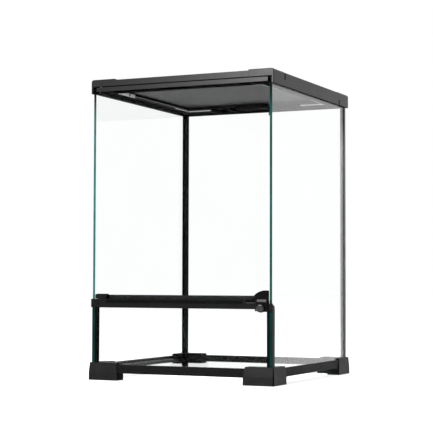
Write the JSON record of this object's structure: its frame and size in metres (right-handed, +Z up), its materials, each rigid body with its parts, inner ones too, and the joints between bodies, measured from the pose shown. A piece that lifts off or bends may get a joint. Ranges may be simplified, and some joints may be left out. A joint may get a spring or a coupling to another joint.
{
  "type": "glass terrarium",
  "caption": "Tall glass terrarium in a black plastic frame with a hinged front door, a knob lock, a louvred vent bar, a lift-off mesh lid and sliding cable gates.",
  "frame": {"origin": "on the floor, under the middle of the outer box", "axes": "+Z up, -Y is the door side, +X to the right seen from the front"},
  "size_m": [0.3134, 0.338, 0.4715],
  "materials": {
    "frame_plastic": "satin black",
    "glass": "clear, polished edges",
    "black_metal": "satin black",
    "steel": "plain",
    "plate": "satin"
  },
  "bodies": {
    "case": {"base_corner_fl": "frame_plastic", "base_corner_fr": "frame_plastic", "base_corner_rl": "frame_plastic", "base_corner_rr": "frame_plastic", "base_rail_front": "frame_plastic", "base_rail_left": "frame_plastic", "base_rail_rear": "frame_plastic", "base_rail_right": "frame_plastic", "base_screws": "steel", "brace_screws": "black_metal", "corner_strip_left": "frame_plastic", "corner_strip_right": "frame_plastic", "front_post_left": "frame_plastic", "front_post_right": "frame_plastic", "lid_latch_pivots": "steel", "lock_plate": "frame_plastic", "pane_base": "glass", "pane_front_low": "glass", "pane_left": "glass", "pane_rear": "glass", "pane_right": "glass", "rear_post_left": "frame_plastic", "rear_post_right": "frame_plastic", "shelf_braces": "plate", "top_corner_fl": "frame_plastic", "top_corner_fr": "frame_plastic", "top_corner_rl": "frame_plastic", "top_corner_rr": "frame_plastic", "top_rail_front": "frame_plastic", "top_rail_left": "frame_plastic", "top_rail_rear": "frame_plastic", "top_rail_right": "frame_plastic", "vent_bar": "frame_plastic", "vent_end_cap": "frame_plastic", "vent_grille": "frame_plastic"},
    "door": {"door_pane": "glass", "hinge_clamp": "frame_plastic", "door_top_rail": "frame_plastic", "hinge_pin_bottom": "steel", "hinge_pin_top": "steel", "latch_bracket": "frame_plastic"},
    "door_latch": {"latch_knob": "frame_plastic", "latch_cam": "frame_plastic"},
    "lid": {"lid_bar_front": "frame_plastic", "lid_bar_left": "frame_plastic", "lid_bar_rear": "frame_plastic", "lid_bar_right": "frame_plastic", "lid_mesh": "black_metal"},
    "turn_latch_fl": {"lid_latch_fl": "frame_plastic"},
    "turn_latch_fr": {"lid_latch_fr": "frame_plastic"},
    "turn_latch_rl": {"lid_latch_rl": "frame_plastic"},
    "turn_latch_rr": {"lid_latch_rr": "frame_plastic"},
    "gate_left": {"cable_gate_left": "frame_plastic"},
    "gate_right": {"cable_gate_right": "frame_plastic"}
  },
  "joints": [
    {"name": "door_hinge", "type": "hinge", "parent": "case", "child": "door", "pos_m": [-0.139, -0.15887, 0.2933], "axis": [0, 0, -1], "range_deg": [0, 120]},
    {"name": "door_latch_turn", "type": "hinge", "parent": "door", "child": "door_latch", "pos_m": [0.1365, -0.16078, 0.115], "axis": [0, 1, 0], "range_deg": [0, 90]},
    {"name": "lid_lift", "type": "slide", "parent": "case", "child": "lid", "axis": [0, 0, 1], "range_m": [0, 0.06]},
    {"name": "lid_latch_fl_turn", "type": "hinge", "parent": "case", "child": "turn_latch_fl", "pos_m": [-0.1498, -0.10827, 0.468], "axis": [0, 0, -1], "range_deg": [0, 90]},
    {"name": "lid_latch_fr_turn", "type": "hinge", "parent": "case", "child": "turn_latch_fr", "pos_m": [0.1498, -0.10827, 0.468], "axis": [0, 0, 1], "range_deg": [0, 90]},
    {"name": "lid_latch_rl_turn", "type": "hinge", "parent": "case", "child": "turn_latch_rl", "pos_m": [-0.1498, 0.11572, 0.468], "axis": [0, 0, 1], "range_deg": [0, 90]},
    {"name": "lid_latch_rr_turn", "type": "hinge", "parent": "case", "child": "turn_latch_rr", "pos_m": [0.1498, 0.11572, 0.468], "axis": [0, 0, -1], "range_deg": [0, 90]},
    {"name": "cable_gate_left_slide", "type": "slide", "parent": "case", "child": "gate_left", "axis": [-1, 0, 0], "range_m": [0, 0.047]},
    {"name": "cable_gate_right_slide", "type": "slide", "parent": "case", "child": "gate_right", "axis": [1, 0, 0], "range_m": [0, 0.047]}
  ]
}
